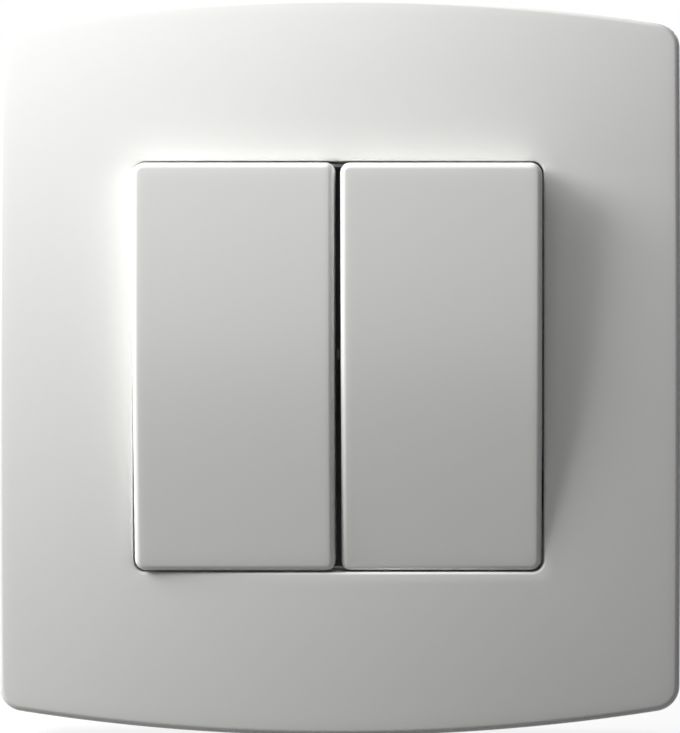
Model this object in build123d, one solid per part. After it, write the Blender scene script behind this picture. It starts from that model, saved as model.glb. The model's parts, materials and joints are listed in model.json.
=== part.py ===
from build123d import *
import os
from math import cos, radians, sin, sqrt, tan

# Flush double light switch, in millimetres.
# X points to the right, Y into the wall and Z up, and the wall is the plane Y = 0.
# The origin is midway between the two box screws, on the back of the support ring.

# How far a cutting shape runs past the faces that it cuts
cut_past = 1.0

# Cover frame
frame_width = 84.5
frame_height = 91.3
frame_arch_radius = 270.0
frame_corner_radius = 3.2
frame_front = 9.0
frame_dome_radius = 620.0
frame_edge_radius = 1.8
frame_wall = 2.0
frame_side_wall = 2.2
frame_rib_thickness = 1.0
frame_rib_spacing = 27.0
frame_rib_back = 3.4
window_size = 50.6
window_corner_radius = 1.5
window_edge_radius = 0.35
window_rim_wall = 1.6
window_rim_back = 3.3
hook_width = 6.0
hook_spacing = 30.0
hook_end = 1.25
hook_root = 0.5
nib_depth = 0.95
nib_height = 0.75

# Rocker caps
rocker_gap = 0.8
rocker_side_clearance = 0.3
rocker_end_clearance = 0.2
rocker_face = 11.1
rocker_face_crown = 0.35
rocker_skirt_back = 5.3
rocker_cavity_step = 1.0
rocker_wall = 1.6
rocker_edge_radius = 1.05
rocker_outer_corner_radius = 1.4
rocker_inner_corner_radius = 1.1
rocker_tilt = 4.4
left_rocker_slack = 1.3
rocker_rib_thickness = 0.9
rocker_rib_height = 1.2
rocker_rib_start = 2.0
rocker_rib_spacing = 5.6
rocker_ribs_each_end = 2
pivot_depth = 7.0
seat_pad_thickness = 1.0
seat_pad_spacing = 8.7
seat_pad_end = 1.0
clip_width = 5.0
clip_thickness = 1.0
clip_gap = 0.1
clip_nib = 0.45
clip_nib_land = 0.3
clip_nib_lead = 0.6

# Actuators, plungers and their springs
cradle_width = 13.0
cradle_height = 15.0
cradle_thickness = 1.5
cradle_seat_gap = 1.0
cradle_corner_radius = 1.2
hub_radius = 1.45
trunnion_radius = 1.2
trunnion_clearance = 0.06
tube_radius = 2.9
tube_bore_radius = 1.8
tube_bore_front = 0.6
tube_length = 9.0
gusset_thickness = 1.2
gusset_end = 2.0
embed = 0.75
plunger_clearance = 0.08
plunger_back = 5.6
plunger_neck = 1.0
plunger_tip_radius = 1.2
plunger_gap = 0.2
spring_clearance = 0.2
spring_wire_radius = 0.2
spring_end_gap = 0.05
spring_turns = 5

# Moving contacts and the strips that they bridge
fulcrum_depth = 7.0
seesaw_tilt = 7.0
seesaw_thickness = 1.0
seesaw_width = 7.0
seesaw_end_width = 5.2
seesaw_contact_arm = 12.0
seesaw_contact_end = 1.8
seesaw_rest_arm = 8.0
seesaw_rest_end = 1.0
seesaw_waist_low = 6.9
seesaw_waist_high = 6.4
seesaw_contact_corner = 2.3
seesaw_rest_corner = 1.0
knife_engagement = 0.25
knife_clearance = 0.1
knife_half_angle = 22.0
groove_half_angle = 42.0
tip_radius = 1.6
tip_height = 0.9
tip_edge_radius = 0.35
tip_shank_radius = 0.8
contact_gap = 0.1
strip_thickness = 0.8
fit_gap = 0.05
common_strip_width = 5.0
knife_blade_thickness = 1.0
common_run_offset = 2.9
common_run_width = 3.2
leg_bend_radius = 0.55
foot_margin = 0.9

# Housing
base_size = 44.0
base_corner_chamfer = 3.2
base_wall = 1.6
base_back = 20.0
base_floor = 1.4
partition_thickness = 1.6
collar_reach = 1.2
collar_depth = 1.4
boss_inset = 3.8
boss_radius = 2.6
rivet_radius = 1.2
rivet_clearance = 0.1
rivet_head_radius = 2.0
rivet_head_height = 0.6
guide_rib_thickness = 0.8
guide_clearance = 0.3
guide_rib_proud = 1.0
guide_rib_low = 3.0
guide_rib_high = 5.6
rest_pad_width = 4.0
rest_pad_length = 2.2
rest_pad_gap = 0.15
rear_cover_thickness = 1.5

# Front cover of the housing
cover_size = 50.0
cover_thickness = 2.0
cover_corner_radius = 1.5
tube_opening = 8.4
tube_opening_corner = 1.0
post_thickness = 1.6
post_width = 6.4
post_rim = 0.8
post_side_gap = 0.35
snap_slot_width = 1.9
spacer_thickness = 0.4
spacer_low = 0.9
spacer_high = 2.1
spacer_front = 8.7
pocket_clearance = 0.3
pocket_floor_gap = 0.1

# Wire terminals
terminal_centre = 10.5
terminal_leg_width = 9.0
terminal_leg_z = 16.4
terminal_leg_back = 19.0
terminal_clearance = 0.5
leg_slot_clearance = 0.1
leg_room = 0.2
chamber_inner_z = 9.4
wire_hole_radius = 1.25
wire_hole_flare = 0.4
wire_hole_spacing = 4.8
wire_hole_offset = 1.35
clamp_thickness = 0.4
clamp_width = 8.6
clamp_fold = 1.2
clamp_bend_radius = 0.43
clamp_front = 13.4
clamp_back = 19.3
clamp_tongue_end = 15.2
clamp_tongue_gap = 0.3
lever_width = 6.8
lever_collar = 0.8
lever_low_z = 10.8
lever_thickness = 2.2
lever_gap = 0.2
lever_proud = 1.3

# Support ring
ring_size = 71.0
ring_thickness = 1.0
ring_corner_radius = 5.0
ring_base_clearance = 0.3
box_screw_spacing = 60.0
box_slot_radius = 2.1
box_slot_length = 6.4
ring_screw_clearance = 0.35
edge_notch_width = 5.0
edge_notch_depth = 1.2
edge_notch_place = 20.9

# Claws, their screws and nuts
claw_pivot_gap = 1.0
claw_pivot_depth = 3.4
claw_thickness = 1.0
claw_width = 9.0
claw_short_leg = 5.8
claw_long_leg = 16.5
claw_lean = 12.0
claw_bend_radius = 0.9
claw_tooth_reach = 2.0
claw_tooth_drop = 1.0
claw_tooth_count = 3
claw_tooth_depth = 0.6
claw_window_start = 1.0
claw_window_length = 7.6
claw_window_clearance = 0.4
claw_screw_slot = 3.4
trunnion_pin_radius = 0.8
trunnion_pin_length = 12.4
ear_thickness = 1.4
ear_radius = 1.7
ear_gap = 0.3
claw_screw_arm = 3.5
claw_screw_radius = 1.25
claw_screw_end = 9.6
claw_head_radius = 2.4
claw_head_height = 1.5
claw_head_edge = 0.6
claw_screw_chamfer = 0.3
claw_head_gap = 0.1
claw_head_clearance = 0.4
driver_slot_width = 0.7
driver_slot_depth = 0.8
nut_size = 5.0
nut_thickness = 2.0
nut_rest_depth = 5.4
nut_clearance = 0.07
nut_chamfer = 0.4

# Sizes that follow from the ones above
rocker_width = (window_size - rocker_gap) / 2 - rocker_side_clearance
rocker_x = (rocker_gap + rocker_width) / 2
rocker_end_radius = window_size / 2 - rocker_end_clearance
cradle_front = rocker_face - rocker_wall - cradle_seat_gap
knife_reach = fulcrum_depth + pivot_depth
seesaw_front = seesaw_thickness - knife_engagement
plunger_reach = (
    knife_reach * cos(radians(seesaw_tilt)) - seesaw_front - plunger_tip_radius - plunger_gap
) / (
    cos(radians(rocker_tilt)) * cos(radians(seesaw_tilt))
    - sin(radians(rocker_tilt)) * sin(radians(seesaw_tilt))
)
closed_tip_depth = (
    fulcrum_depth
    + (knife_engagement + tip_height) * cos(radians(seesaw_tilt))
    + (seesaw_contact_arm + tip_radius) * sin(radians(seesaw_tilt))
)
strip_front = closed_tip_depth + contact_gap + tip_height
floor_depth = strip_front + strip_thickness
chamber_depth = floor_depth + base_floor
cover_front = ring_thickness + cover_thickness
rear_cover_back = base_back + rear_cover_thickness
terminal_leg_end = terminal_leg_z + strip_thickness
claw_pivot_x = base_size / 2 + claw_pivot_gap
claw_screw_x = claw_pivot_x + claw_screw_arm
boss_position = base_size / 2 - boss_inset
chamber_height = terminal_leg_end + leg_room - chamber_inner_z


def slab(sketch, front, back):
    """A sketch drawn as seen from the front, as a solid between two depths."""
    return extrude(Plane.XZ.offset(-back) * sketch, back - front)


def across(sketch, left, right):
    """A sketch of depth and height, as a solid between two X values."""
    return extrude(Plane.YZ.offset(left) * sketch, right - left)


def block(x, y, z):
    """A block from three (low, high) pairs."""
    middle = [(pair[0] + pair[1]) / 2 for pair in (x, y, z)]
    return Pos(*middle) * Box(x[1] - x[0], y[1] - y[0], z[1] - z[0])


def rod_along_depth(x, z, radius, front, back):
    return slab(Pos(x, z) * Circle(radius), front, back)


def rod_along_width(y, z, radius, left, right):
    return across(Pos(y, z) * Circle(radius), left, right)


def bent_strip(points, width, thickness, bend_radius, width_axis):
    """Sheet metal of one thickness, bent along a route of straight runs and tangent arcs."""
    route = FilletPolyline(*points, radius=bend_radius)
    start = Plane(origin=route @ 0, x_dir=width_axis, z_dir=route % 0)
    return sweep(start * Rectangle(width, thickness), path=route)


def about_pivot(shape, depth, tilt):
    """Tilts a piece about the X-parallel axis at a depth, top outwards for a positive tilt."""
    return shape.rotate(Axis((0, depth, 0), (1, 0, 0)), tilt)


def save(shape, name):
    shape.label = name
    export_step(shape, f"parts/{name}.step")


def frame_outline(inset=0.0):
    """Straight sides and arched top and bottom edges, with rounded corners."""
    half = frame_width / 2 - inset
    top = frame_height / 2 - inset
    radius = frame_arch_radius - inset
    shoulder = top - (radius - sqrt(radius**2 - half**2))
    edges = Curve() + [
        ThreePointArc((-half, shoulder), (0, top), (half, shoulder)),
        Line((half, shoulder), (half, -shoulder)),
        ThreePointArc((half, -shoulder), (0, -top), (-half, -shoulder)),
        Line((-half, -shoulder), (-half, shoulder)),
    ]
    outline = make_face(edges)
    return fillet(outline.vertices(), max(frame_corner_radius - inset, frame_corner_radius / 4))


def frame_dome(depth_below_front):
    """The ball whose front cap is the frame's gently domed face, or a face parallel to it."""
    centre = frame_dome_radius - frame_front
    return Pos(0, centre, 0) * Sphere(frame_dome_radius - depth_below_front)


def frame_ribs(cavity):
    """Stiffening ribs between the window rim and the outer walls, two on each side."""
    half = frame_rib_thickness / 2
    reach = frame_height
    ribs = Part()
    for place in (-frame_rib_spacing / 2, frame_rib_spacing / 2):
        span = (place - half, place + half)
        ribs += block(span, (-frame_front, -frame_rib_back), (-reach, reach))
        ribs += block((-reach, reach), (-frame_front, -frame_rib_back), span)
    return ribs & cavity


def frame_hooks():
    """Four tongues on the window rim, each with a nib that snaps behind the front cover's edge."""
    inner = window_size / 2
    outer = inner + window_rim_wall
    profile = Polyline(
        (outer, -window_rim_back - hook_root),
        (outer, -hook_end),
        (inner, -hook_end),
        (inner - nib_depth, -hook_end - nib_height / 2),
        (inner - nib_depth, -hook_end - nib_height),
        (inner, -hook_end - nib_height),
        (inner, -window_rim_back - hook_root),
        close=True,
    )
    tongue = extrude(make_face(profile), hook_width / 2, both=True)
    hooks = Part()
    for z in (-hook_spacing / 2, hook_spacing / 2):
        placed = Pos(0, 0, z) * tongue
        hooks += [placed, mirror(placed, Plane.YZ)]
    return hooks


def cover_frame():
    beyond = frame_front + cut_past
    body = slab(frame_outline(), -beyond, 0) & frame_dome(0)
    front_face = body.faces().sort_by(Axis.Y)[0]
    body = fillet(front_face.edges(), frame_edge_radius)
    window = RectangleRounded(window_size, window_size, window_corner_radius)
    rim_size = window_size + 2 * window_rim_wall
    rim = RectangleRounded(rim_size, rim_size, window_corner_radius + window_rim_wall)
    cavity = slab(frame_outline(frame_side_wall), -beyond, cut_past) & frame_dome(frame_wall)
    cavity -= slab(rim, -beyond, cut_past)
    body -= slab(window, -beyond, cut_past)
    near = window_size / 2 + window_rim_wall
    window_edges = [
        edge
        for edge in body.faces().sort_by(Axis.Y)[0].edges()
        if abs(edge.center().X) < near and abs(edge.center().Z) < near
    ]
    body = fillet(window_edges, window_edge_radius)
    body = body - cavity - slab(rim, -window_rim_back, cut_past)
    return body + frame_ribs(cavity) + frame_hooks()


def cap_profile(inset):
    """The cap's section in depth and height: a crowned face and end walls round the pivot."""
    end_radius = rocker_end_radius - inset
    face = rocker_face - inset
    edge = face - rocker_face_crown
    front_z = sqrt(end_radius**2 - (edge - pivot_depth) ** 2)
    back = -rocker_skirt_back + (rocker_cavity_step if inset else 0.0)
    back_z = sqrt(end_radius**2 - (back + pivot_depth) ** 2)
    widest = (-pivot_depth - (edge - pivot_depth) / 2, 0)
    bulge_z = sqrt(end_radius**2 - (widest[0] + pivot_depth) ** 2)
    edges = Curve() + [
        ThreePointArc((-edge, -front_z), (-face, 0), (-edge, front_z)),
        ThreePointArc((-edge, front_z), (widest[0], bulge_z), (back, back_z)),
        Line((back, back_z), (back, -back_z)),
        ThreePointArc((back, -back_z), (widest[0], -bulge_z), (-edge, -front_z)),
    ]
    return make_face(edges)


def cap_shell(side):
    """The hollow cap, rounded at its face, with the smaller corners beside the other rocker."""
    half = rocker_width / 2
    centre = side * rocker_x
    shell = across(cap_profile(0.0), centre - half, centre + half)
    upright = [
        edge
        for edge in shell.edges()
        if edge.geom_type == GeomType.CIRCLE
        and abs(edge.center().Z) > rocker_end_radius - 2
        and abs(edge.center().X - centre) > half - 0.1
    ]
    outer = [edge for edge in upright if side * (edge.center().X - centre) > 0]
    shell = fillet(outer, rocker_outer_corner_radius)
    inner = [
        edge
        for edge in shell.edges()
        if edge.geom_type == GeomType.CIRCLE
        and abs(edge.center().Z) > rocker_end_radius - 2
        and side * (edge.center().X - centre) < 0.1 - half
    ]
    shell = fillet(inner, rocker_inner_corner_radius)
    face = shell.faces().sort_by(Axis.Y)[0]
    shell = fillet(face.edges(), rocker_edge_radius)
    hollow = across(cap_profile(rocker_wall), centre - half + rocker_wall, centre + half - rocker_wall)
    return shell - hollow


def cap_ribs(side):
    """Cross ribs behind the face, above and below the cradle."""
    centre = side * rocker_x
    inner_half = rocker_width / 2 - rocker_wall
    reach = inner_half + rocker_wall / 8
    depth = (-rocker_face + rocker_wall / 2, -rocker_face + rocker_wall + rocker_rib_height)
    first = cradle_height / 2 + clip_thickness + rocker_rib_start
    half = rocker_rib_thickness / 2
    ribs = Part()
    for end in (-1, 1):
        for number in range(rocker_ribs_each_end):
            z = end * (first + number * rocker_rib_spacing)
            ribs += block((centre - reach, centre + reach), depth, (z - half, z + half))
    return ribs


def cap_clips(side):
    """Seat pads that rest on the cradle and two legs whose nibs grip it from behind."""
    centre = side * rocker_x
    front = -rocker_face + rocker_wall / 2
    cradle_back = -cradle_front + cradle_thickness
    clips = Part()
    half_pad = seat_pad_thickness / 2
    pad_z = cradle_height / 2 - seat_pad_end
    for x in (centre - seat_pad_spacing / 2, centre + seat_pad_spacing / 2):
        clips += block((x - half_pad, x + half_pad), (front, -cradle_front), (-pad_z, pad_z))
    inner = cradle_height / 2 + clip_gap
    nib_front = cradle_back + clip_gap
    leg_back = nib_front + clip_nib_land + clip_nib_lead
    profile = Polyline(
        (front, inner),
        (nib_front, inner),
        (nib_front, inner - clip_nib),
        (nib_front + clip_nib_land, inner - clip_nib),
        (leg_back, inner),
        (leg_back, inner + clip_thickness),
        (front, inner + clip_thickness),
        close=True,
    )
    leg = across(make_face(profile), centre - clip_width / 2, centre + clip_width / 2)
    return clips + leg + mirror(leg, Plane.XY)


def rocker(side):
    return cap_shell(side) + cap_ribs(side) + cap_clips(side)


def actuator(side):
    """Cradle plate, hub with two trunnions, and the tube that guides the plunger."""
    centre = side * rocker_x
    half = cradle_width / 2
    inside = -cradle_front + embed
    outline = Pos(centre, 0) * RectangleRounded(cradle_width, cradle_height, cradle_corner_radius)
    plate = slab(outline, -cradle_front, -cradle_front + cradle_thickness)
    trunnion_half = half + post_side_gap + post_thickness
    hub = rod_along_width(-pivot_depth, 0, hub_radius, centre - half, centre + half)
    hub += block((centre - half, centre + half), (inside, -pivot_depth), (-hub_radius, hub_radius))
    pins = rod_along_width(-pivot_depth, 0, trunnion_radius, centre - trunnion_half, centre + trunnion_half)
    tube_back = tube_length - pivot_depth
    tube = rod_along_depth(centre, 0, tube_radius, inside, tube_back)
    bore = rod_along_depth(centre, 0, tube_bore_radius, -pivot_depth - tube_bore_front, tube_back)
    half_gusset = gusset_thickness / 2
    gusset_z = cradle_height / 2 - gusset_end
    gusset = block(
        (centre - half_gusset, centre + half_gusset),
        (inside, -pivot_depth + hub_radius),
        (-gusset_z, gusset_z),
    )
    return plate + hub + pins + tube + gusset - bore


def plunger(side):
    """Follower with a round nose that rides on the moving contact."""
    radius = tube_bore_radius - plunger_clearance
    nose = plunger_reach - pivot_depth
    neck = tube_length - pivot_depth + plunger_neck
    outline = Polyline(
        (0, plunger_back - pivot_depth),
        (radius, plunger_back - pivot_depth),
        (radius, neck),
        (plunger_tip_radius, nose),
        (0, nose),
        close=True,
    )
    body = revolve(make_face(outline), Axis.Y)
    body += Pos(0, nose, 0) * Sphere(plunger_tip_radius)
    return Pos(side * rocker_x, 0, 0) * body


def plunger_spring(side):
    """Coil spring between the end of the tube's bore and the plunger."""
    end_room = spring_wire_radius + spring_end_gap
    start = -pivot_depth - tube_bore_front + end_room
    length = plunger_back - pivot_depth - start - end_room
    coil_radius = tube_bore_radius - spring_clearance - spring_wire_radius
    helix = Helix(
        pitch=length / spring_turns,
        height=length,
        radius=coil_radius,
        center=(side * rocker_x, start, 0),
        direction=(0, 1, 0),
    )
    section = Plane(origin=helix @ 0, z_dir=helix % 0) * Circle(spring_wire_radius)
    return sweep(section, path=helix, is_frenet=True)


def seesaw(side):
    """Contact lever: waisted brass plate with a V groove for the knife edge behind it."""
    centre = side * rocker_x
    low = -seesaw_contact_arm - seesaw_contact_end
    high = seesaw_rest_arm + seesaw_rest_end
    middle = seesaw_width / 2
    end = seesaw_end_width / 2
    right_edge = [
        (end, low),
        (end, -seesaw_waist_low),
        (middle, -middle),
        (middle, middle),
        (end, seesaw_waist_high),
        (end, high),
    ]
    left_edge = [(-x, z) for x, z in reversed(right_edge)]
    sketch = make_face(Polyline(*right_edge, *left_edge, close=True))
    sketch = fillet(sketch.vertices().sort_by(Axis.Y)[:2], seesaw_contact_corner)
    sketch = fillet(sketch.vertices().sort_by(Axis.Y)[-2:], seesaw_rest_corner)
    back = fulcrum_depth + knife_engagement
    plate = slab(Pos(centre, 0) * sketch, back - seesaw_thickness, back)
    beyond = back + seesaw_thickness
    apex = fulcrum_depth - knife_clearance
    half_width = (beyond - apex) * tan(radians(groove_half_angle))
    groove = make_face(Polyline((apex, 0), (beyond, half_width), (beyond, -half_width), close=True))
    plate -= across(groove, centre - seesaw_width, centre + seesaw_width)
    hole = tip_shank_radius + fit_gap
    return plate - rod_along_depth(centre, -seesaw_contact_arm, hole, 0, base_back)


def contact_tip(x, z, face_depth, facing, shank):
    """Silver contact rivet. Its head ends at face_depth and faces into the wall (+1) or out (-1)."""
    head = rod_along_depth(0, 0, tip_radius, 0, tip_height)
    rim = head.edges().filter_by(GeomType.CIRCLE).sort_by(Axis.Y)[-1]
    head = fillet(rim, tip_edge_radius)
    tip = head + rod_along_depth(0, 0, tip_shank_radius, -shank, 0)
    if facing < 0:
        tip = mirror(tip, Plane.XZ)
    return Pos(x, face_depth - facing * tip_height, z) * tip


def terminal_leg(x_centre, up):
    """The leg of a contact strip that stands in a terminal chamber, beside the wires."""
    half = terminal_leg_width / 2
    z = sorted((up * terminal_leg_z, up * terminal_leg_end))
    return block((x_centre - half, x_centre + half), (strip_front, terminal_leg_back), z)


def fixed_contact(side):
    """Strip on the chamber floor, with the hole of its contact rivet, bent into a terminal leg."""
    centre = side * terminal_centre
    half = terminal_leg_width / 2
    foot_z = (-terminal_leg_end, tip_radius + foot_margin - seesaw_contact_arm)
    foot = block((centre - half, centre + half), (strip_front, floor_depth), foot_z)
    strip = foot + terminal_leg(centre, -1)
    outer_bend = strip.edges().filter_by(Axis.X).sort_by(lambda edge: edge.center().Y + edge.center().Z)
    strip = fillet(outer_bend[0], leg_bend_radius)
    hole = tip_shank_radius + fit_gap
    return strip - rod_along_depth(side * rocker_x, -seesaw_contact_arm, hole, 0, base_back)


def common_bar():
    """Strip across both chambers with a knife-edge blade in each, bent into the common terminal leg."""
    half_strip = common_strip_width / 2
    reach = rocker_x + seesaw_width / 2
    depth = (strip_front, floor_depth)
    run_inner = partition_thickness / 2 + common_run_offset
    run_outer = run_inner + common_run_width
    leg_low = terminal_centre - terminal_leg_width / 2
    leg_high = terminal_centre + terminal_leg_width / 2
    bar = block((-reach, reach), depth, (-half_strip, half_strip))
    bar += block((run_inner, run_outer), depth, (0, terminal_leg_end))
    bar += block((run_inner, leg_high), depth, (terminal_leg_end - common_run_width, terminal_leg_end))
    bar += block((leg_low, leg_high), (strip_front, terminal_leg_back), (terminal_leg_z, terminal_leg_end))
    half_blade = knife_blade_thickness / 2
    shoulder = fulcrum_depth + half_blade / tan(radians(knife_half_angle))
    blade = make_face(
        Polyline(
            (fulcrum_depth, 0),
            (shoulder, half_blade),
            (floor_depth, half_blade),
            (floor_depth, -half_blade),
            (shoulder, -half_blade),
            close=True,
        )
    )
    for side in (-1, 1):
        middle = side * rocker_x
        bar += across(blade, middle - seesaw_width / 2, middle + seesaw_width / 2)
    return bar


def clamp_spring(x_centre, up):
    """Leaf spring whose tongue presses a wire against the terminal leg."""
    wall_z = chamber_inner_z + clamp_thickness / 2
    points = [
        (x_centre, clamp_front, up * wall_z),
        (x_centre, clamp_back, up * wall_z),
        (x_centre, clamp_back, up * (wall_z + clamp_fold)),
        (x_centre, clamp_tongue_end, up * (terminal_leg_z - clamp_tongue_gap)),
    ]
    return bent_strip(points, clamp_width, clamp_thickness, clamp_bend_radius, (1, 0, 0))


def release_lever(x_centre, up):
    """Slider that pushes the clamp spring's tongue off the wires, kept in by its collar."""
    wall_z = chamber_inner_z + clamp_thickness / 2 + clamp_fold
    rise = terminal_leg_z - clamp_tongue_gap - wall_z
    slope = (clamp_back - clamp_tongue_end) / rise
    spring_offset = clamp_thickness / 2 * sqrt(1 + slope**2) + lever_gap
    low = lever_low_z
    high = lever_low_z + lever_thickness

    def tongue_back(z):
        return clamp_back - (z - wall_z) * slope + spring_offset

    def profile(back):
        points = [(tongue_back(low), low), (back, low), (back, high), (tongue_back(high), high)]
        return make_face(Polyline(*[(y, up * z) for y, z in points], close=True))

    half = lever_width / 2
    slider = across(profile(rear_cover_back + lever_proud), x_centre - half, x_centre + half)
    wide = half + lever_collar
    collar_back = base_back - lever_gap
    return slider + across(profile(collar_back), x_centre - wide, x_centre + wide)


def base_outline(size):
    face = Rectangle(size, size)
    return chamfer(face.vertices(), base_corner_chamfer)


def boss_places():
    return [(x, z) for x in (-boss_position, boss_position) for z in (-boss_position, boss_position)]


def terminals():
    """X of the centre and up or down, for the two switched terminals and the common one."""
    return {
        "left": (-terminal_centre, -1),
        "right": (terminal_centre, -1),
        "common": (terminal_centre, 1),
    }


def claw_ears(side):
    """Two moulded ears beside the housing, with the holes of the claw's trunnions."""
    x = side * claw_pivot_x
    wall = side * (base_size / 2 - base_wall / 2)
    shape = Pos(x, claw_pivot_depth) * Circle(ear_radius)
    low, high = sorted((x, wall))
    shape += Pos((low + high) / 2, claw_pivot_depth) * Rectangle(high - low, 2 * ear_radius)
    shape -= Pos(x, claw_pivot_depth) * Circle(trunnion_pin_radius + trunnion_clearance)
    inner = claw_width / 2 + ear_gap
    ear = extrude(Plane.XY.offset(inner) * shape, ear_thickness)
    return ear + mirror(ear, Plane.XY)


def switch_base():
    """Housing with two contact chambers in front and three terminal chambers behind."""
    body = slab(base_outline(base_size), -ring_thickness, base_back)
    body += slab(base_outline(base_size + 2 * collar_reach), 0, collar_depth)
    inner = base_size / 2 - base_wall
    half_partition = partition_thickness / 2
    front = -ring_thickness - cut_past
    beyond = base_back + cut_past
    for side in (-1, 1):
        x = sorted((side * half_partition, side * inner))
        chamber = block(x, (front, floor_depth), (-inner, inner))
        for place in boss_places():
            chamber -= rod_along_depth(*place, boss_radius, front, base_back)
            corner_x = sorted((place[0], place[0] * 2))
            corner_z = sorted((place[1], place[1] * 2))
            chamber -= block(corner_x, (front, base_back), corner_z)
        body -= chamber
        body += seesaw_supports(side)
    half = terminal_leg_width / 2 + terminal_clearance
    for x, up in terminals().values():
        z = sorted((up * chamber_inner_z, up * (chamber_inner_z + chamber_height)))
        body -= block((x - half, x + half), (chamber_depth, beyond), z)
        slot_half = terminal_leg_width / 2 + leg_slot_clearance
        slot_z = sorted(
            (up * (terminal_leg_z - leg_slot_clearance), up * (terminal_leg_end + leg_slot_clearance))
        )
        body -= block((x - slot_half, x + slot_half), (floor_depth, chamber_depth), slot_z)
    bar_half = common_strip_width / 2 + leg_slot_clearance
    bar_x = (-partition_thickness, partition_thickness)
    body -= block(bar_x, (strip_front - leg_slot_clearance, floor_depth), (-bar_half, bar_half))
    for place in boss_places():
        body -= rod_along_depth(*place, rivet_radius + rivet_clearance, front, beyond)
    for side in (-1, 1):
        body += claw_ears(side)
        screw_room = claw_screw_radius + ring_screw_clearance
        body -= rod_along_depth(side * claw_screw_x, 0, screw_room, front, claw_screw_end)
    return body


def seesaw_supports(side):
    """Guide ribs beside the contact lever and the pad where its short arm comes to rest."""
    centre = side * rocker_x
    supports = Part()
    offset = seesaw_width / 2 + guide_clearance
    depth = (fulcrum_depth - guide_rib_proud, chamber_depth)
    for place in (-1, 1):
        x = sorted((centre + place * offset, centre + place * (offset + guide_rib_thickness)))
        supports += block(x, depth, (guide_rib_low, guide_rib_high))
    tilt = radians(seesaw_tilt)
    pad_front = (
        fulcrum_depth
        + knife_engagement * cos(tilt)
        + (seesaw_rest_arm + seesaw_rest_end) * sin(tilt)
        + rest_pad_gap
    )
    pad_end = seesaw_rest_arm + seesaw_rest_end
    half_pad = rest_pad_width / 2
    pad_x = (centre - half_pad, centre + half_pad)
    supports += block(pad_x, (pad_front, chamber_depth), (pad_end - rest_pad_length, pad_end))
    return supports


def mechanism_cover():
    """Front cover of the housing with the rocker bearings and the spacer rib between the rockers."""
    sketch = RectangleRounded(cover_size, cover_size, cover_corner_radius)
    for side in (-1, 1):
        sketch -= Pos(side * rocker_x, 0) * RectangleRounded(tube_opening, tube_opening, tube_opening_corner)
    cover = slab(sketch, -cover_front, -ring_thickness)
    bearing = trunnion_radius + trunnion_clearance
    post_front = pivot_depth + bearing + post_rim
    for side in (-1, 1):
        for end in (-1, 1):
            near = side * rocker_x + end * (cradle_width / 2 + post_side_gap)
            x = sorted((near, near + end * post_thickness))
            post = Pos(-(pivot_depth + cover_front) / 2, 0) * Rectangle(
                pivot_depth - cover_front, post_width
            )
            post += Pos(-pivot_depth, 0) * Rectangle(2 * (post_front - pivot_depth), post_width)
            post -= Pos(-pivot_depth, 0) * Circle(bearing)
            post -= Pos(-post_front, 0) * Rectangle(2 * (post_front - pivot_depth), snap_slot_width)
            cover += across(post, *x)
    spacer = block(
        (-spacer_thickness / 2, spacer_thickness / 2),
        (-spacer_front, -ring_thickness),
        (spacer_low, spacer_high),
    )
    cover += spacer
    front = -cover_front - cut_past
    pocket_x = window_size / 2 - nib_depth - pocket_clearance
    pocket_front = hook_end + nib_height + pocket_floor_gap
    half = hook_width / 2 + pocket_clearance
    for side in (-1, 1):
        for z in (-hook_spacing / 2, hook_spacing / 2):
            x = sorted((side * pocket_x, side * cover_size))
            cover -= block(x, (-pocket_front, 0), (z - half, z + half))
        notch = claw_head_radius + claw_head_clearance
        cover -= rod_along_depth(side * claw_screw_x, 0, notch, front, 0)
    for place in boss_places():
        cover -= rod_along_depth(*place, rivet_radius + rivet_clearance, front, 0)
    return cover


def rear_cover():
    """Lid behind the terminals: flared wire entries and the openings of the release levers."""
    lid = slab(base_outline(base_size), base_back, rear_cover_back)
    front, beyond = base_back - cut_past, rear_cover_back + cut_past
    for x, up in terminals().values():
        entry_z = up * (terminal_leg_z - wire_hole_offset)
        for offset in (-wire_hole_spacing / 2, wire_hole_spacing / 2):
            lid -= rod_along_depth(x + offset, entry_z, wire_hole_radius, front, beyond)
            flare = Cone(wire_hole_radius, wire_hole_radius + wire_hole_flare, wire_hole_flare)
            lid -= Pos(x + offset, rear_cover_back - wire_hole_flare / 2, entry_z) * Rot(-90, 0, 0) * flare
        half = lever_width / 2 + lever_gap
        z = sorted((up * (lever_low_z - lever_gap), up * (lever_low_z + lever_thickness + lever_gap)))
        lid -= block((x - half, x + half), (front, beyond), z)
    for place in boss_places():
        lid -= rod_along_depth(*place, rivet_radius + rivet_clearance, front, beyond)
    return lid


def housing_rivets():
    """Four rivets that hold front cover, ring, housing and lid together."""
    rivets = []
    for place in boss_places():
        rivet = rod_along_depth(*place, rivet_radius, -cover_front, rear_cover_back)
        for front, back in (
            (-cover_front - rivet_head_height, -cover_front),
            (rear_cover_back, rear_cover_back + rivet_head_height),
        ):
            rivet += rod_along_depth(*place, rivet_head_radius, front, back)
        rivets.append(rivet)
    return Compound(children=rivets)


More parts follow.
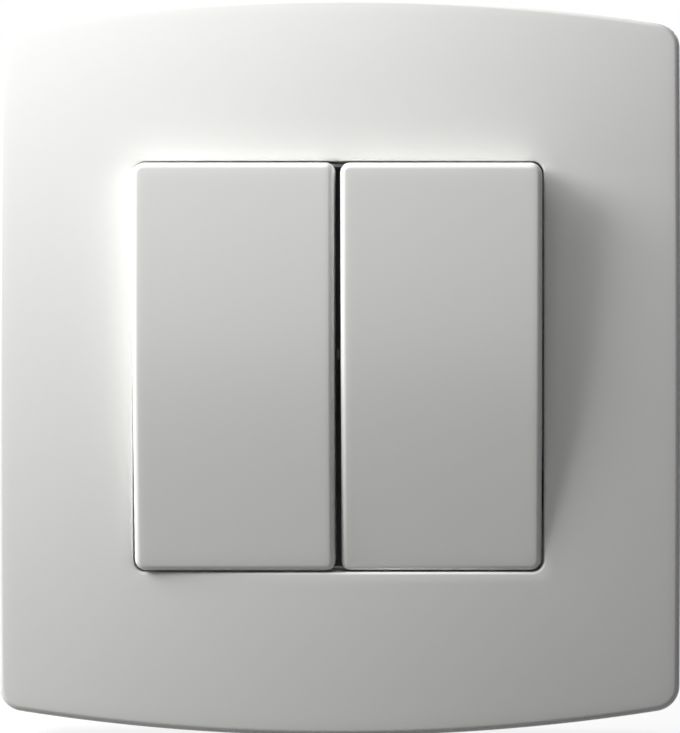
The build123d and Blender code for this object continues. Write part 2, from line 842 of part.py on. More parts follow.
def support_ring():
    """Steel ring with the housing's opening, two slots for the box screws and the claw screw holes."""
    sketch = RectangleRounded(ring_size, ring_size, ring_corner_radius)
    opening = base_size + 2 * ring_base_clearance
    sketch -= chamfer(Rectangle(opening, opening).vertices(), base_corner_chamfer)
    for end in (-1, 1):
        sketch -= Pos(0, end * box_screw_spacing / 2) * Rot(0, 0, 90) * SlotOverall(
            box_slot_length, 2 * box_slot_radius
        )
        sketch -= Pos(end * claw_screw_x, 0) * Circle(claw_screw_radius + ring_screw_clearance)
        for offset in (-1, 1):
            sketch -= Pos(end * ring_size / 2, offset * edge_notch_place) * Rectangle(
                2 * edge_notch_depth, edge_notch_width
            )
            sketch -= Pos(offset * edge_notch_place, end * ring_size / 2) * Rectangle(
                edge_notch_width, 2 * edge_notch_depth
            )
    return slab(sketch, -ring_thickness, 0)


def claw(side):
    """Bent steel claw: a short leg that its nut pulls forward and a long toothed leg that swings out."""
    lean = radians(claw_lean)
    pivot = Vector(claw_pivot_x, claw_pivot_depth, 0)
    short_end = pivot + Vector(cos(lean), sin(lean), 0) * claw_short_leg
    long_end = pivot + Vector(0, claw_long_leg, 0)
    tooth_end = long_end + Vector(claw_tooth_reach, claw_tooth_drop, 0)
    body = bent_strip(
        [short_end, pivot, long_end, tooth_end], claw_width, claw_thickness, claw_bend_radius, (0, 0, 1)
    )
    pin = Pos(pivot) * Cylinder(trunnion_pin_radius, trunnion_pin_length)
    window_half = nut_size / 2 + claw_window_clearance
    long_start = claw_pivot_depth + claw_window_start
    body -= block(
        (claw_pivot_x - claw_thickness, claw_pivot_x + claw_thickness),
        (long_start, long_start + claw_window_length),
        (-window_half, window_half),
    )
    slot = Pos(claw_screw_x, claw_pivot_depth, 0) * Box(claw_screw_slot, 4 * claw_thickness, claw_screw_slot)
    body -= slot
    pitch = claw_width / claw_tooth_count
    for number in range(claw_tooth_count + 1):
        z = -claw_width / 2 + number * pitch
        notch = make_face(
            Polyline((0, -pitch / 2), (0, pitch / 2), (-claw_tooth_reach, 0), close=True)
        )
        wedge = extrude(Plane.XZ * notch, claw_tooth_reach, both=True)
        body -= Pos(tooth_end.X + claw_tooth_depth, tooth_end.Y, z) * wedge
    body += pin
    return body if side > 0 else mirror(body, Plane.YZ)


def claw_screw(side):
    """Pan-head screw with a driver slot. It turns in the ring and doesn't move along."""
    head_back = -ring_thickness - claw_head_gap
    head = rod_along_depth(claw_screw_x, 0, claw_head_radius, head_back - claw_head_height, head_back)
    rim = head.edges().filter_by(GeomType.CIRCLE).sort_by(Axis.Y)[0]
    head = fillet(rim, claw_head_edge)
    front = head_back - claw_head_height
    head -= block(
        (claw_screw_x - claw_head_radius, claw_screw_x + claw_head_radius),
        (front, front + driver_slot_depth),
        (-driver_slot_width / 2, driver_slot_width / 2),
    )
    screw = head + rod_along_depth(claw_screw_x, 0, claw_screw_radius, head_back, claw_screw_end)
    screw = chamfer(screw.edges().filter_by(GeomType.CIRCLE).sort_by(Axis.Y)[-1], claw_screw_chamfer)
    return screw if side > 0 else mirror(screw, Plane.YZ)


def claw_nut(side):
    """Square nut behind the claw's short leg."""
    nut = block(
        (claw_screw_x - nut_size / 2, claw_screw_x + nut_size / 2),
        (nut_rest_depth, nut_rest_depth + nut_thickness),
        (-nut_size / 2, nut_size / 2),
    )
    nut = chamfer(nut.edges().filter_by(Axis.Y), nut_chamfer)
    bore = rod_along_depth(claw_screw_x, 0, claw_screw_radius + nut_clearance, 0, base_back)
    nut -= bore
    return nut if side > 0 else mirror(nut, Plane.YZ)


def moving_tip(side):
    return contact_tip(
        side * rocker_x,
        -seesaw_contact_arm,
        fulcrum_depth + knife_engagement + tip_height,
        1,
        seesaw_thickness,
    )


def fixed_tip(side):
    return contact_tip(
        side * rocker_x, -seesaw_contact_arm, closed_tip_depth + contact_gap, -1, strip_thickness
    )


save(cover_frame(), "cover_frame")
save(mechanism_cover(), "mechanism_cover")
save(switch_base(), "switch_base")
save(rear_cover(), "rear_cover")
save(support_ring(), "support_ring")
save(housing_rivets(), "housing_rivets")
save(common_bar(), "common_bar")
for name, (x_centre, up) in terminals().items():
    save(clamp_spring(x_centre, up), f"{name}_clamp_spring")
    save(release_lever(x_centre, up), f"{name}_release_lever")
for name, side, tilt in (("left", -1, rocker_tilt - left_rocker_slack), ("right", 1, rocker_tilt)):
    for piece, make in (
        ("rocker", rocker),
        ("actuator", actuator),
        ("plunger", plunger),
        ("plunger_spring", plunger_spring),
    ):
        save(about_pivot(make(side), -pivot_depth, tilt), f"{name}_{piece}")
    for piece, make in (("seesaw", seesaw), ("moving_tip", moving_tip)):
        save(about_pivot(make(side), fulcrum_depth, -seesaw_tilt), f"{name}_{piece}")
    save(fixed_contact(side), f"{name}_fixed_contact")
    save(fixed_tip(side), f"{name}_fixed_tip")
    save(claw(side), f"{name}_claw")
    save(claw_screw(side), f"{name}_claw_screw")
    save(claw_nut(side), f"{name}_claw_nut")
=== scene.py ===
import json
from math import asin, cos, hypot, pi, radians, sin, sqrt, tan

import bmesh
import bpy
from mathutils import Matrix, Vector


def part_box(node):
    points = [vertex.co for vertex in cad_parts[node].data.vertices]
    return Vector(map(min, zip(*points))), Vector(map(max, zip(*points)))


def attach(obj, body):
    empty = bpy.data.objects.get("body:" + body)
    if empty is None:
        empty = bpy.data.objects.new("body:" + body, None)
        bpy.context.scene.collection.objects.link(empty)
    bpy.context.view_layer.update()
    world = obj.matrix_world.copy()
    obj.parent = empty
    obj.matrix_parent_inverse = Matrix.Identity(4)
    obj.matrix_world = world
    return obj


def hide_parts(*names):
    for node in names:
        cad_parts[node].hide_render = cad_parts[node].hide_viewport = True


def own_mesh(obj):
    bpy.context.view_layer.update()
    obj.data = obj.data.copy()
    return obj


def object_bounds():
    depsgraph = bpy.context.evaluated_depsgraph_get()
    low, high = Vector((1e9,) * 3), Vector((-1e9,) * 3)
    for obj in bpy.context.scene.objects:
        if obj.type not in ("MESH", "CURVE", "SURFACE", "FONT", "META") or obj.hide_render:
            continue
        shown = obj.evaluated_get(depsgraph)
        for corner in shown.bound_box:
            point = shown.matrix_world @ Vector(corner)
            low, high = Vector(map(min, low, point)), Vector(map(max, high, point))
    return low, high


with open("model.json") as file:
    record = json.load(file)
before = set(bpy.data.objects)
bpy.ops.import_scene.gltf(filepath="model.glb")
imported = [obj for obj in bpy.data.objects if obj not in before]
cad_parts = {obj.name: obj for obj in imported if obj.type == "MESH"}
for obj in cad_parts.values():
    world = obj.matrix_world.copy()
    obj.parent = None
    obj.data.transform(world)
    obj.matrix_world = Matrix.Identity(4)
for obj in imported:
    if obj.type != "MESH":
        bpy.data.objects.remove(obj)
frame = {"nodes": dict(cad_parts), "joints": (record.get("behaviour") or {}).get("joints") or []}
cad_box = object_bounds()

bpy.context.scene.view_settings.view_transform = "Standard"


# Support ring: the steel plate that the box screws hold, and that carries all the rest.
# It is stamped from 1 mm sheet and zinc plated: a cool grey metal, slightly cloudy, with
# edges that the punch has rounded a little.
zinc_colour = "C3C6C9"
zinc_roughness = 0.34
zinc_cloud = 0.004
cloud_detail = 4.0
gloss_spread = (0.8, 1.25)
ring_edge = 0.00012
same_point = 1e-6
flat_angle = radians(1)
bevel_angle = radians(40)
bevel_segments = 2


def linear(hex_colour):
    """An sRGB hex colour as the linear values that Blender works with."""
    levels = [int(hex_colour[place:place + 2], 16) / 255 for place in (0, 2, 4)]
    return [v / 12.92 if v <= 0.04045 else ((v + 0.055) / 1.055) ** 2.4 for v in levels] + [1.0]


def add_node(material, kind, sockets, **settings):
    """Adds one shader node. A socket takes a value, or another node's output to link."""
    tree = material.node_tree
    made = tree.nodes.new(kind)
    for name, value in settings.items():
        setattr(made, name, value)
    for name, value in sockets.items():
        if isinstance(value, bpy.types.NodeSocket):
            tree.links.new(value, made.inputs[name])
        else:
            made.inputs[name].default_value = value
    return made


def new_material(name):
    material = bpy.data.materials.new(name)
    material.use_nodes = True
    material.node_tree.nodes.clear()
    return material


def finish_material(material, surface):
    output = material.node_tree.nodes.new("ShaderNodeOutputMaterial")
    material.node_tree.links.new(surface, output.inputs["Surface"])
    return material


def metal(name, colour, roughness, cloud_size):
    """Plain metal whose gloss changes a little in patches of the given size."""
    material = new_material(name)
    place = add_node(material, "ShaderNodeTexCoord", {}).outputs["Object"]
    clouds = add_node(
        material, "ShaderNodeTexNoise", {"Vector": place, "Scale": 1 / cloud_size, "Detail": cloud_detail}
    )
    dullest, glossiest = roughness * gloss_spread[1], roughness * gloss_spread[0]
    gloss = add_node(
        material,
        "ShaderNodeMapRange",
        {"Value": clouds.outputs["Fac"], "To Min": glossiest, "To Max": dullest},
    )
    shader = add_node(
        material,
        "ShaderNodeBsdfPrincipled",
        {"Base Color": linear(colour), "Metallic": 1.0, "Roughness": gloss.outputs["Result"]},
    )
    return finish_material(material, shader.outputs["BSDF"])


def dress(names, material, edge):
    """Gives CAD nodes their finish, and breaks their sharp edges by the given width."""
    for name in names:
        piece = frame["nodes"][name]
        piece.data.materials.clear()
        piece.data.materials.append(material)
        piece.data.shade_smooth()
        weld = piece.modifiers.new("joined faces", "WELD")
        weld.merge_threshold = same_point
        flat = piece.modifiers.new("whole faces", "DECIMATE")
        flat.decimate_type = "DISSOLVE"
        flat.angle_limit = flat_angle
        broken = piece.modifiers.new("broken edges", "BEVEL")
        broken.width = edge
        broken.segments = bevel_segments
        broken.limit_method = "ANGLE"
        broken.angle_limit = bevel_angle
        even = piece.modifiers.new("even shading", "WEIGHTED_NORMAL")
        even.keep_sharp = True


zinc_plate = metal("zinc_plated_steel", zinc_colour, zinc_roughness, zinc_cloud)
dress(["support_ring"], zinc_plate, ring_edge)


# Housing: the box behind the ring with the contact chambers, and its lid with the wire entries.
# Both are injection moulded in glass-filled polyamide, a dark grey plastic with a dull,
# slightly grainy skin. Four rivets hold them to the front cover.
housing_colour = "3A3D40"
housing_roughness = 0.55
housing_grain = 0.0006
housing_grain_depth = 0.00001
grain_detail = 2.0
plastic_ior = 1.5
housing_edge = 0.00015


def moulded(name, colour, roughness, grain=housing_grain, grain_depth=housing_grain_depth):
    """Moulded plastic: one colour right through, with the fine skin of the mould."""
    material = new_material(name)
    place = add_node(material, "ShaderNodeTexCoord", {}).outputs["Object"]
    grains = add_node(
        material, "ShaderNodeTexNoise", {"Vector": place, "Scale": 1 / grain, "Detail": grain_detail}
    )
    relief = add_node(
        material,
        "ShaderNodeBump",
        {"Height": grains.outputs["Fac"], "Distance": grain_depth, "Strength": 1.0},
    )
    shader = add_node(
        material,
        "ShaderNodeBsdfPrincipled",
        {
            "Base Color": linear(colour),
            "Roughness": roughness,
            "IOR": plastic_ior,
            "Normal": relief.outputs["Normal"],
        },
    )
    return finish_material(material, shader.outputs["BSDF"])


polyamide = moulded("glass_filled_polyamide", housing_colour, housing_roughness)
dress(["switch_base", "rear_cover"], polyamide, housing_edge)


# Front cover of the housing: bearings for both rockers and the spacer rib between them.
# It is moulded in the same plastic in a lighter grey, and shows only through the gaps, where
# the tip of the spacer rib makes a small light spot.
cover_colour = "6E7174"
cover_edge = 0.0001

grey_polyamide = moulded("grey_polyamide", cover_colour, housing_roughness)
dress(["mechanism_cover"], grey_polyamide, cover_edge)


# Rivets: four hollow-ended steel rivets, zinc plated like the ring, closed over the lid.
rivet_edge = 0.0002

dress(["housing_rivets"], zinc_plate, rivet_edge)


# Contact strips: the common bar with its two knife edges, the two switched strips and the two
# contact levers. They are stamped and bent from brass sheet, warm yellow and half glossy.
brass_colour = "DDBB72"
brass_roughness = 0.3
brass_cloud = 0.003
brass_edge = 0.00006

brass_sheet = metal("rolled_brass", brass_colour, brass_roughness, brass_cloud)
dress(
    ["common_bar", "left_fixed_contact", "right_fixed_contact", "left_seesaw", "right_seesaw"],
    brass_sheet,
    brass_edge,
)


# Contact rivets: small silver buttons, riveted into the levers and the switched strips.
# Fine silver is almost white and softly shining.
silver_colour = "E4E2DD"
silver_roughness = 0.28
silver_cloud = 0.001
silver_edge = 0.00008

contact_silver = metal("contact_silver", silver_colour, silver_roughness, silver_cloud)
dress(
    ["left_moving_tip", "right_moving_tip", "left_fixed_tip", "right_fixed_tip"],
    contact_silver,
    silver_edge,
)


# Clamp springs: bent leaves of stainless spring steel whose tongues hold the wires.
# The finish is rolled and bright. Each tongue gives way to its release lever; here the leaves stay still.
spring_colour = "B9B8B4"
spring_roughness = 0.25
spring_cloud = 0.002

spring_steel = metal("stainless_spring_steel", spring_colour, spring_roughness, spring_cloud)
for name in ("left", "right", "common"):
    node = f"{name}_clamp_spring"
    leaf = bpy.data.objects.new(f"{name}_clamp_leaf", frame["nodes"][node].data.copy())
    bpy.context.scene.collection.objects.link(leaf)
    leaf.data.materials.clear()
    leaf.data.materials.append(spring_steel)
    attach(leaf, "housing")
    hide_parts(node)
    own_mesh(leaf)


# Release levers: three sliders in the lid that push the clamp springs off the wires.
# They are moulded in a light, glossier plastic, so that a hand finds them behind the switch.
lever_colour = "D8D5CC"
lever_roughness = 0.38
lever_edge = 0.0002

lever_plastic = moulded("light_acetal", lever_colour, lever_roughness)
dress(["left_release_lever", "right_release_lever", "common_release_lever"], lever_plastic, lever_edge)


# Claws, their screws and nuts: they grip the wall box where it has no box screws.
# Bent and stamped steel, all zinc plated, with small rounded edges.
claw_edge = 0.0001

dress(
    [f"{side}_{piece}" for side in ("left", "right") for piece in ("claw", "claw_screw", "claw_nut")],
    zinc_plate,
    claw_edge,
)


# Actuators and plungers: the cradles that the caps clip on, and the followers in their tubes.
# Both slide on other parts, so they are moulded in acetal, off-white and slightly waxy.
acetal_colour = "E6E4DC"
acetal_roughness = 0.4
acetal_edge = 0.0001

acetal = moulded("acetal", acetal_colour, acetal_roughness)
dress(["left_actuator", "right_actuator", "left_plunger", "right_plunger"], acetal, acetal_edge)


# Plunger springs: coils of 0.4 mm steel wire in the actuators' tubes.
# Drawn spring wire is smooth and grey. They shorten as the plungers go in; here each coil keeps its rest
# length.
rest_tilt = {"left": 3.1, "right": 4.4}
coil_radius = 0.0014
wire_radius = 0.0002
coil_turns = 5
coil_front = -0.00735
coil_back = -0.00165
coil_steps = 24
wire_steps = 10
coil_crease = 60


def joint(name):
    return next(entry for entry in frame["joints"] if entry["name"] == name)


def new_piece(name, mesh, material, body, node):
    """A piece of the scene that stands for a CAD node and rides on the node's body."""
    piece = bpy.data.objects.new(name, mesh)
    bpy.context.scene.collection.objects.link(piece)
    piece.data.materials.append(material)
    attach(piece, body)
    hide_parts(node)
    return piece


def skin(shape, rings, closed):
    """Joins rings of points into a skin. A closed one also joins the last ring to the first."""
    loops = [[shape.verts.new(point) for point in ring] for ring in rings]
    count = len(loops[0])
    pairs = list(zip(loops, loops[1:])) + ([(loops[-1], loops[0])] if closed else [])
    for one, other in pairs:
        for index in range(count):
            after = (index + 1) % count
            shape.faces.new((one[index], one[after], other[after], other[index]))
    if not closed:
        shape.faces.new(loops[0][::-1])
        shape.faces.new(loops[-1])


def to_mesh(name, shape, crease):
    """Turns the worked shape into a mesh, smooth except where faces meet above the crease angle."""
    bmesh.ops.recalc_face_normals(shape, faces=shape.faces)
    mesh = bpy.data.meshes.new(name)
    shape.to_mesh(mesh)
    shape.free()
    mesh.shade_smooth()
    mesh.set_sharp_from_angle(angle=radians(crease))
    return mesh


def coil(centre, turn):
    """The spring's wire as a tube on a helix along Y, turned with its rocker."""
    shape = bmesh.new()
    rings = []
    total = coil_turns * coil_steps
    for step in range(total + 1):
        angle = 2 * pi * step / coil_steps
        depth = coil_front + (coil_back - coil_front) * step / total
        outwards = Vector((cos(angle), 0, sin(angle)))
        middle = Vector((centre, depth, 0)) + outwards * coil_radius
        ring = []
        for part in range(wire_steps):
            around = 2 * pi * part / wire_steps
            along = Vector((0, wire_radius * sin(around), 0))
            ring.append(turn @ (middle + outwards * wire_radius * cos(around) + along))
        rings.append(ring)
    skin(shape, rings, closed=False)
    return to_mesh("plunger_coil", shape, coil_crease)


for name, tilt in rest_tilt.items():
    pivot = Vector(joint(f"{name}_rocker_tilt")["pos_m"])
    turn = Matrix.Rotation(radians(tilt), 4, "X")
    turn = Matrix.Translation(pivot) @ turn @ Matrix.Translation(-pivot)
    spring = new_piece(
        f"{name}_coil_spring",
        coil(pivot.x, turn),
        spring_steel,
        f"{name}_rocker",
        f"{name}_plunger_spring",
    )
    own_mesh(spring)


# Rocker caps: two tall caps that clip on the actuators, in white thermoplastic with a satin skin.
# Their face is two nearly flat halves with a soft bend across the middle, and its edges are round.
# The end walls are curved about the pivot, so that the gap stays the same as the cap tilts.
mm = 0.001
white_colour = "EEEEEC"
white_roughness = 0.36
white_grain = 0.0005
white_grain_depth = 0.000002
cap_face = 11.1
cap_half_slope = tan(radians(3.6))
cap_bend_half_length = 10.0
cap_end_radius = 25.1
cap_back = 5.3
cap_wall = 1.6
cap_edge_radius = 0.75
cap_outer_corner = 1.4
cap_inner_corner = 1.1
cap_cavity_corner = 0.3
edge_steps = 8
wall_rings = (1.0, 0.66, 0.33)
face_rings = (0.94, 0.82, 0.68, 0.56, 0.46, 0.38, 0.3, 0.23, 0.16, 0.1, 0.04)
cavity_rings = (1.0, 0.5, 0.0)
mould_crease = 35
same_direction = 1e-6
cap_points = {"end": 12, "corner": 8, "side": 20}
cap_rib = {"count": 2, "thickness": 0.9, "height": 1.2, "first": 10.5, "spacing": 5.6, "sink": 0.2}
cap_pad = {"thickness": 1.0, "x": 4.35, "z": 6.5, "back": 8.5}
cap_leg = {"half_width": 2.5, "inner": 7.6, "outer": 8.6, "back": 6.0}
cap_nib = {"height": 0.45, "front": 6.9, "back": 6.6}


def quadrant(half_width, half_height, corner, counts, arch_radius=None):
    """A quarter of an outline, from its top middle to its right middle, as points with normals."""
    corner_x = half_width - corner
    corner_z = half_height - corner
    bend = 0.0
    if arch_radius:
        arch_z = half_height - arch_radius
        corner_z = arch_z + sqrt((arch_radius - corner) ** 2 - corner_x**2)
        bend = asin(corner_x / (arch_radius - corner))
    points = []
    for step in range(counts["end"]):
        share = step / counts["end"]
        if arch_radius:
            lean = (sin(bend * share), cos(bend * share))
            points.append((arch_radius * lean[0], arch_z + arch_radius * lean[1], *lean))
        else:
            points.append((corner_x * share, half_height, 0.0, 1.0))
    for step in range(counts["corner"] + 1):
        angle = bend + (pi / 2 - bend) * step / counts["corner"]
        lean = (sin(angle), cos(angle))
        points.append((corner_x + corner * lean[0], corner_z + corner * lean[1], *lean))
    for step in range(1, counts["side"] + 1):
        points.append((half_width, corner_z * (1 - step / counts["side"]), 1.0, 0.0))
    return points


def full_outline(right, left):
    """The whole outline, clockwise from the top middle, from its right and left quarters."""
    lower_right = [(x, -z, nx, -nz) for x, z, nx, nz in right[::-1]]
    lower_left = [(-x, -z, -nx, -nz) for x, z, nx, nz in left]
    upper_left = [(-x, z, -nx, nz) for x, z, nx, nz in left[::-1]]
    return right[:-1] + lower_right[:-1] + lower_left[:-1] + upper_left[:-1]


def between(start, end, share):
    """A direction part of the way from one to another."""
    return start.slerp(end, share) if start.angle(end) > same_direction else start


def add_prism(shape, profile, axis, low, high):
    """A bar with a flat profile, which runs along X or Z from low to high."""
    ends = []
    for place in (low, high):
        if axis == "X":
            ends.append([shape.verts.new((place, y, z)) for y, z in profile])
        else:
            ends.append([shape.verts.new((x, y, place)) for x, y in profile])
    shape.faces.new(ends[0])
    shape.faces.new(ends[1][::-1])
    for index in range(len(profile)):
        after = (index + 1) % len(profile)
        shape.faces.new((ends[0][index], ends[0][after], ends[1][after], ends[1][index]))


def bar(first_low, first_high, second_low, second_high):
    """A rectangle, as the profile of a bar."""
    return [
        (first_low, second_low),
        (first_high, second_low),
        (first_high, second_high),
        (first_low, second_high),
    ]


def cap_shape(side, half_width, pivot_depth):
    """The hollow cap in its own frame, with its pivot on the X axis, in millimetres."""
    corners = (cap_outer_corner, cap_inner_corner) if side > 0 else (cap_inner_corner, cap_outer_corner)
    face = cap_face - pivot_depth
    back = cap_back - pivot_depth

    def crown_depth(z, inset=0.0):
        return inset - face + cap_half_slope * (hypot(z, cap_bend_half_length) - cap_bend_half_length)

    def end_height(depth, inset=0.0):
        return sqrt((cap_end_radius - inset) ** 2 - depth**2)

    def ring(depth, inset, right_corner, left_corner):
        height = end_height(depth, inset)
        right = quadrant(half_width - inset, height, right_corner, cap_points)
        left = quadrant(half_width - inset, height, left_corner, cap_points)
        return full_outline(right, left)

    radius = cap_edge_radius
    level = crown_depth(end_height(face) - radius, radius)
    edge = []
    for x, z, nx, nz in ring(level, radius, corners[0] - radius, corners[1] - radius):
        middle = Vector((x, crown_depth(z, radius), z))
        wall = Vector((nx, middle.y / (cap_end_radius - radius) * abs(nz), nz)).normalized()
        front = Vector((0, -1, cap_half_slope * z / hypot(z, cap_bend_half_length))).normalized()
        edge.append((middle, wall, front))
    rings = []
    for share in wall_rings:
        points = []
        for index, (middle, wall, front) in enumerate(edge):
            top = (middle + wall * radius).y
            depth = top + (-back - top) * share
            x, z, nx, nz = ring(depth, 0.0, *corners)[index]
            points.append(Vector((x, depth, z)))
        rings.append(points)
    for step in range(edge_steps + 1):
        share = step / edge_steps
        rings.append([middle + between(wall, front, share) * radius for middle, wall, front in edge])
    last = rings[-1]
    for share in face_rings:
        rings.append([Vector((p.x * share, crown_depth(p.z * share), p.z * share)) for p in last])
    cavity = []
    ceiling = crown_depth(0, cap_wall)
    for share in cavity_rings:
        depth = -back + (ceiling + back) * share
        level = ring(depth, cap_wall, cap_cavity_corner, cap_cavity_corner)
        cavity.append([
            Vector((x, depth if share < 1 else crown_depth(z, cap_wall), z)) for x, z, nx, nz in level
        ])
    return cavity + rings


def rocker_cap(name, side, tilt):
    node = f"{name}_rocker"
    low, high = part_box(node)
    pivot = Vector(joint(f"{name}_rocker_tilt")["pos_m"])
    half_width = (high.x - low.x) / 2 / mm
    pivot_depth = -pivot.y / mm
    shape = bmesh.new()
    skin(shape, cap_shape(side, half_width, pivot_depth), closed=False)
    inner = half_width - cap_wall + cap_rib["sink"]
    rib_front = pivot_depth - cap_face + cap_wall / 2
    rib_back = pivot_depth - cap_face + cap_wall + cap_rib["height"]
    half_rib = cap_rib["thickness"] / 2
    for end in (-1, 1):
        for number in range(cap_rib["count"]):
            z = end * (cap_rib["first"] + number * cap_rib["spacing"])
            add_prism(shape, bar(rib_front, rib_back, z - half_rib, z + half_rib), "X", -inner, inner)
        leg = [
            (rib_front, cap_leg["inner"]),
            (pivot_depth - cap_nib["front"], cap_leg["inner"]),
            (pivot_depth - cap_nib["front"], cap_leg["inner"] - cap_nib["height"]),
            (pivot_depth - cap_nib["back"], cap_leg["inner"] - cap_nib["height"]),
            (pivot_depth - cap_leg["back"], cap_leg["inner"]),
            (pivot_depth - cap_leg["back"], cap_leg["outer"]),
            (rib_front, cap_leg["outer"]),
        ]
        leg = [(y, end * z) for y, z in leg]
        add_prism(shape, leg, "X", -cap_leg["half_width"], cap_leg["half_width"])
        pad_x = end * cap_pad["x"]
        half_pad = cap_pad["thickness"] / 2
        pad_back = pivot_depth - cap_pad["back"]
        pad = bar(rib_front, pad_back, -cap_pad["z"], cap_pad["z"])
        add_prism(shape, pad, "X", pad_x - half_pad, pad_x + half_pad)
    place = Matrix.Translation(pivot) @ Matrix.Rotation(radians(tilt), 4, "X") @ Matrix.Scale(mm, 4)
    bmesh.ops.transform(shape, matrix=place, verts=shape.verts)
    mesh = to_mesh(f"{name}_cap", shape, mould_crease)
    return new_piece(f"{name}_rocker_cap", mesh, white_plastic, node, node)


white_plastic = moulded(
    "white_thermoplastic", white_colour, white_roughness, white_grain, white_grain_depth
)
for name, side in (("left", -1), ("right", 1)):
    rocker_cap(name, side, rest_tilt[name])


# Cover frame: the plate that snaps on round both rockers and hides the ring.
# It is moulded in the same white plastic, gently domed, with straight sides, arched top and
# bottom edges and a round outer edge. Behind it are ribs, and hooks that grip the front cover.
plate_front = 9.0
plate_dome_radius = 620.0
plate_arch_radius = 270.0
plate_corner = 3.2
plate_edge_radius = 0.9
plate_wall = 2.0
plate_side_wall = 2.2
window_half = 25.3
window_corner = 1.5
window_edge_radius = 0.35
rim_wall = 1.6
rim_back = 3.3
plate_points = {"end": 24, "corner": 10, "side": 24}
plate_edge_steps = 10
plate_face_steps = 16
plate_back_steps = 4
window_edge_steps = 4
plate_rib = {"place": 13.5, "half": 0.5, "front": 6.6, "back": 3.4, "sink": 0.4}
hook = {"place": 15.0, "half": 3.0, "front": 3.8, "end": 1.25, "nib": 0.95, "nib_height": 0.75}


def on_dome(x, z, below=0.0):
    """Depth of the domed face, or of the one parallel to it inside."""
    radius = plate_dome_radius - below
    return plate_dome_radius - plate_front - sqrt(radius**2 - x**2 - z**2)


def rolled_edge(outline, radius, towards, steps):
    """Rings round an edge that is rounded between an upright wall and the domed face."""
    shares = [step / steps for step in range(steps + 1)]
    rings = [[] for share in shares]
    for x, z, nx, nz in outline:
        cx, cz = x - towards * nx * radius, z - towards * nz * radius
        middle = Vector((cx, on_dome(cx, cz, radius), cz))
        wall = Vector((nx, 0, nz)) * towards
        face = (middle - Vector((0, plate_dome_radius - plate_front, 0))).normalized()
        for ring, share in zip(rings, shares):
            ring.append(middle + between(wall, face, share) * radius)
    return rings


def plate_shape():
    low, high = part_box("cover_frame")
    half_width = (high.x - low.x) / 2 / mm
    half_height = (high.z - low.z) / 2 / mm
    quarter = quadrant(half_width, half_height, plate_corner, plate_points, plate_arch_radius)
    outer = full_outline(quarter, quarter)
    quarter = quadrant(window_half, window_half, window_corner, plate_points)
    window = full_outline(quarter, quarter)

    def offset(outline, distance, depth):
        points = []
        for x, z, nx, nz in outline:
            x, z = x + nx * distance, z + nz * distance
            points.append(Vector((x, on_dome(x, z, plate_wall) if depth is None else depth, z)))
        return points

    rings = [offset(window, 0, -rim_back)]
    rings += rolled_edge(window, window_edge_radius, -1, window_edge_steps)
    outer_edge = rolled_edge(outer, plate_edge_radius, 1, plate_edge_steps)
    start, end = rings[-1], outer_edge[-1]
    for step in range(1, plate_face_steps):
        share = step / plate_face_steps
        ring = []
        for one, other in zip(start, end):
            x, z = one.x + (other.x - one.x) * share, one.z + (other.z - one.z) * share
            ring.append(Vector((x, on_dome(x, z), z)))
        rings.append(ring)
    rings += outer_edge[::-1]
    rings.append(offset(outer, 0, 0.0))
    rings.append(offset(outer, -plate_side_wall, 0.0))
    inner_edge = offset(outer, -plate_side_wall, None)
    rim_edge = offset(window, rim_wall, None)
    rings.append(inner_edge)
    for step in range(1, plate_back_steps):
        share = step / plate_back_steps
        ring = []
        for one, other in zip(inner_edge, rim_edge):
            x, z = one.x + (other.x - one.x) * share, one.z + (other.z - one.z) * share
            ring.append(Vector((x, on_dome(x, z, plate_wall), z)))
        rings.append(ring)
    rings.append(rim_edge)
    rings.append(offset(window, rim_wall, -rim_back))
    return rings, half_width, half_height


def cover_plate():
    shape = bmesh.new()
    rings, half_width, half_height = plate_shape()
    skin(shape, rings, closed=True)
    inner = window_half + rim_wall - plate_rib["sink"]
    side_end = half_width - plate_side_wall + plate_rib["sink"]
    arch_drop = plate_arch_radius - sqrt(plate_arch_radius**2 - plate_rib["place"] ** 2)
    top_end = half_height - arch_drop - plate_side_wall + plate_rib["sink"]
    depth = (-plate_rib["front"], -plate_rib["back"])
    for place in (-plate_rib["place"], plate_rib["place"]):
        low, high = place - plate_rib["half"], place + plate_rib["half"]
        for end in (-1, 1):
            add_prism(shape, bar(low, high, *depth), "Z", *sorted((end * inner, end * top_end)))
            add_prism(shape, bar(*depth, low, high), "X", *sorted((end * inner, end * side_end)))
    tongue = [
        (window_half + rim_wall, -hook["front"]),
        (window_half + rim_wall, -hook["end"]),
        (window_half, -hook["end"]),
        (window_half - hook["nib"], -hook["end"] - hook["nib_height"] / 2),
        (window_half - hook["nib"], -hook["end"] - hook["nib_height"]),
        (window_half, -hook["end"] - hook["nib_height"]),
        (window_half, -hook["front"]),
    ]
    for z in (-hook["place"], hook["place"]):
        for end in (-1, 1):
            add_prism(shape, [(end * x, y) for x, y in tongue], "Z", z - hook["half"], z + hook["half"])
    bmesh.ops.transform(shape, matrix=Matrix.Scale(mm, 4), verts=shape.verts)
    mesh = to_mesh("cover_plate", shape, mould_crease)
    return new_piece("cover_plate", mesh, white_plastic, "housing", "cover_frame")


cover_plate()


# Stage: a pale floor under the plate, a white room, and soft boxes all round the upper left.
# They stand close to the switch and low over the wall plane, so that the light fades across the
# plate and draws soft shadows beside the rockers. Two more stand behind it and light its back.
floor_size = 3.0
floor_colour = "FFFFFF"
floor_bounce_colour = "6B6B6B"
floor_glow = 0.88
soft_box_share = 0.45

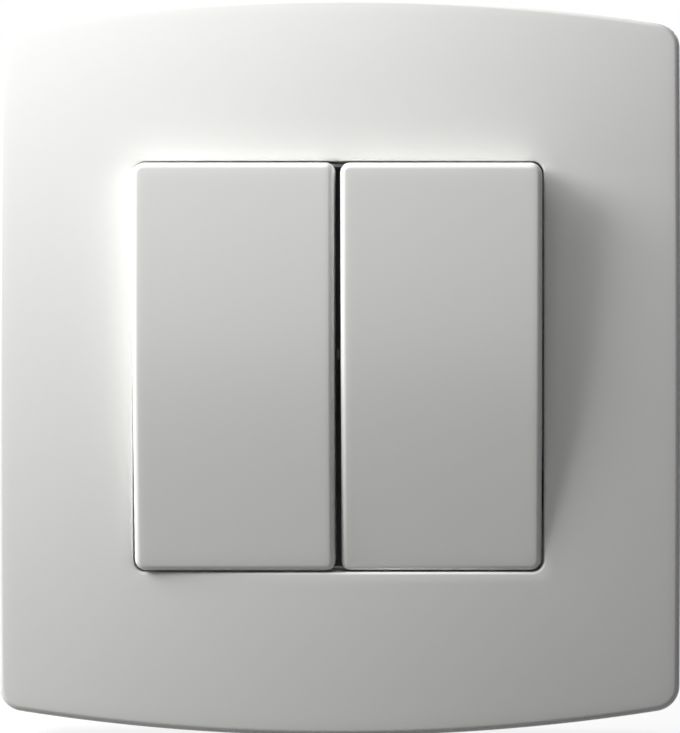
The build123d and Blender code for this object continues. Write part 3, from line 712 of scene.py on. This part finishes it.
# Name, distance in metres, angle from the view and angle round it in degrees, power in watts
soft_boxes = (
    ("left_box", 0.50, 76, 150, 1.95),
    ("corner_box", 0.50, 76, 130, 0.99),
    ("near_left_box", 0.25, 76, 150, 0.358),
    ("near_upper_box", 0.15, 62, 110, 0.0207),
    ("near_top_box", 0.15, 62, 90, 0.0552),
    ("back_left_box", 0.50, 128, 135, 1.3),
    ("back_right_box", 0.50, 128, 55, 1.3),
)


def seen_from_camera(tree_owner):
    """One for rays from the camera, in reflections and through clear parts, and none for the rest."""
    ray = add_node(tree_owner, "ShaderNodeLightPath", {}).outputs
    seen = add_node(
        tree_owner,
        "ShaderNodeMath",
        {0: ray["Is Camera Ray"], 1: ray["Is Glossy Ray"]},
        operation="MAXIMUM",
    )
    seen = add_node(
        tree_owner,
        "ShaderNodeMath",
        {0: seen.outputs["Value"], 1: ray["Is Transmission Ray"]},
        operation="MAXIMUM",
    )
    return seen.outputs["Value"]


def floor_material():
    """White to the eye, with the switch's shadow, but grey for the light that it sends back."""
    material = new_material("matt_white_floor")
    grey = add_node(material, "ShaderNodeBsdfDiffuse", {"Color": linear(floor_bounce_colour)})
    pale = add_node(material, "ShaderNodeBsdfDiffuse", {"Color": linear(floor_colour)})
    white = add_node(material, "ShaderNodeEmission", {"Color": linear("FFFFFF"), "Strength": 1.0})
    shadowed = add_node(
        material,
        "ShaderNodeMixShader",
        {0: floor_glow, 1: pale.outputs["BSDF"], 2: white.outputs["Emission"]},
    )
    mixed = add_node(
        material,
        "ShaderNodeMixShader",
        {0: seen_from_camera(material), 1: grey.outputs["BSDF"], 2: shadowed.outputs["Shader"]},
    )
    return finish_material(material, mixed.outputs["Shader"])


bpy.ops.mesh.primitive_plane_add(size=floor_size, location=(0, 0, cad_box[0][2]))
floor = bpy.context.object
floor.name = "floor"
floor.data.materials.append(floor_material())

world = bpy.data.worlds.new("white_room")
bpy.context.scene.world = world
world.use_nodes = True
world.node_tree.nodes.clear()
sky = add_node(
    world, "ShaderNodeBackground", {"Color": linear("FFFFFF"), "Strength": seen_from_camera(world)}
)
sky_output = world.node_tree.nodes.new("ShaderNodeOutputWorld")
world.node_tree.links.new(sky.outputs["Background"], sky_output.inputs["Surface"])


def soft_box(name, distance, from_axis, around, power):
    """A square soft light that faces the switch, placed by its angle from the view and round it."""
    slant, turn = radians(from_axis), radians(around)
    away = Vector((sin(slant) * cos(turn), -cos(slant), sin(slant) * sin(turn)))
    data = bpy.data.lights.new(name, "AREA")
    data.shape = "SQUARE"
    data.size = distance * soft_box_share
    data.energy = power
    lamp = bpy.data.objects.new(name, data)
    bpy.context.scene.collection.objects.link(lamp)
    lamp.location = away * distance
    lamp.rotation_euler = (-away).to_track_quat("-Z", "Y").to_euler()


for box in soft_boxes:
    soft_box(*box)


# Camera: in front of the switch, about 0.3 m away and a little to its right, looking straight at
# the wall, with a lens that lets the cover plate fill the picture.
camera_place = (0.014, -0.306, 0)
camera_lens = 118.9
camera_sensor = 36.0
camera_near = 0.01
outline_depth = 0.0035

camera_data = bpy.data.cameras.new("camera")
camera_data.lens = camera_lens
camera_data.sensor_width = camera_sensor
camera_data.shift_x = camera_place[0] / (camera_place[1] + outline_depth) * camera_lens / camera_sensor
camera_data.clip_start = camera_near
camera = bpy.data.objects.new("camera", camera_data)
bpy.context.scene.collection.objects.link(camera)
camera.location = camera_place
camera.rotation_euler = (pi / 2, 0, 0)
bpy.context.scene.camera = camera
